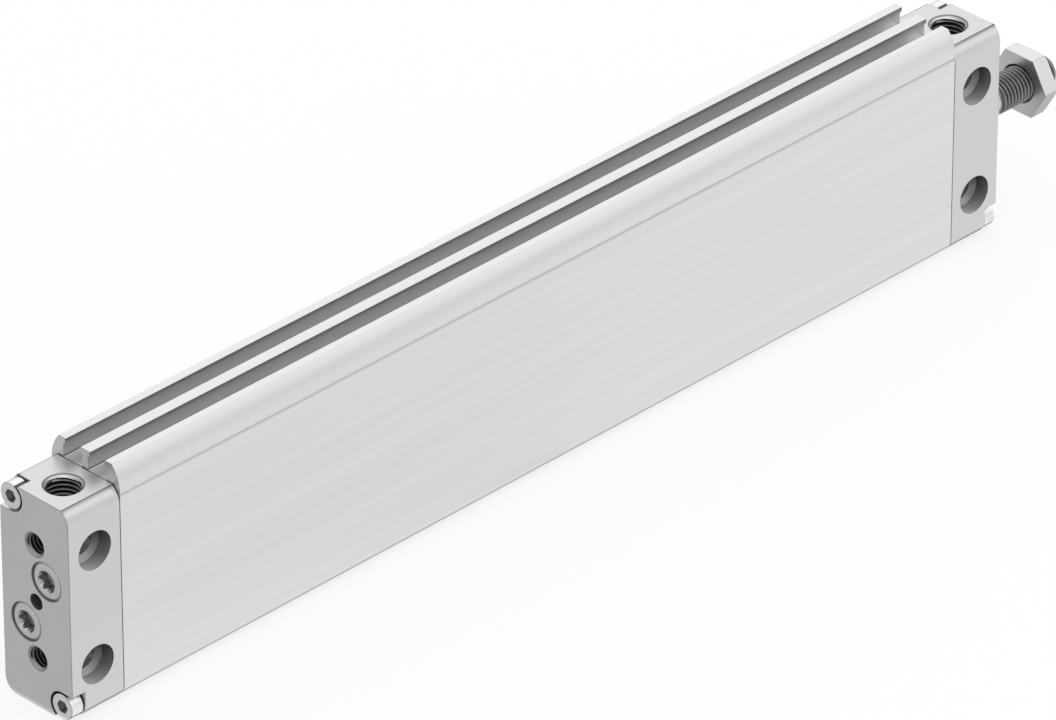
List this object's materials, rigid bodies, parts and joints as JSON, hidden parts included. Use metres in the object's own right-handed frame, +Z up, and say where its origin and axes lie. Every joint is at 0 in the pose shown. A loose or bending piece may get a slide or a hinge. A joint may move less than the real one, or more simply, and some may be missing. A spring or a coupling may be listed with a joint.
{
  "type": "flat pneumatic cylinder",
  "caption": "Flat double-acting air cylinder: oval-bore extruded barrel with sensor slots on top, block end caps with threaded ports, and a sliding rod with a threaded tip and jam nut.",
  "frame": {"origin": "on the narrow side that it stands on, under the middle of the whole length from the rear end face to the rod tip", "axes": "+X along the rod towards its tip, +Y across the thickness, +Z up towards the sensor slots and the ports"},
  "size_m": [0.359, 0.024, 0.066],
  "materials": {
    "barrel_aluminium": "fine lengthwise grain, clear anodised",
    "cap_aluminium": "fine milled, clear anodised, satin",
    "piston_aluminium": "turned and milled, bare",
    "screw_steel": "bright plated",
    "rod_steel": "ground and polished",
    "nut_steel": "bright plated",
    "seal_rubber": "smooth black elastomer",
    "buffer_rubber": "matt black elastomer",
    "band_plastic": "matt filled plastic",
    "bearing_bronze": "sintered, oiled",
    "magnet_compound": "matt magnet compound"
  },
  "bodies": {
    "housing": {"barrel_profile": "barrel_aluminium", "rear_cap": "cap_aluminium", "front_cap": "cap_aluminium", "rear_cap_screws": "screw_steel", "front_cap_screws": "screw_steel", "rear_plate_screws": "screw_steel", "rear_bore_plate": "piston_aluminium", "rear_bore_seal": "seal_rubber", "front_bore_seal": "seal_rubber", "rear_buffer": "buffer_rubber", "front_buffer": "buffer_rubber", "rod_bearing": "bearing_bronze", "rod_seal": "seal_rubber", "rod_wiper": "seal_rubber"},
    "rod": {"piston_rod": "rod_steel", "piston": "piston_aluminium", "piston_seal_rear": "seal_rubber", "piston_seal_front": "seal_rubber", "piston_guide_band": "band_plastic", "piston_magnet": "magnet_compound", "piston_screw": "screw_steel", "rod_end_ring": "seal_rubber"},
    "nut": {"jam_nut": "nut_steel"}
  },
  "joints": [
    {"name": "rod_slide", "type": "slide", "parent": "housing", "child": "rod", "axis": [1, 0, 0], "range_m": [0, 0.25]},
    {"name": "nut_turn", "type": "hinge", "parent": "rod", "child": "nut", "pos_m": [0.1718, 0, 0.0303], "axis": [1, 0, 0], "continuous": true}
  ]
}
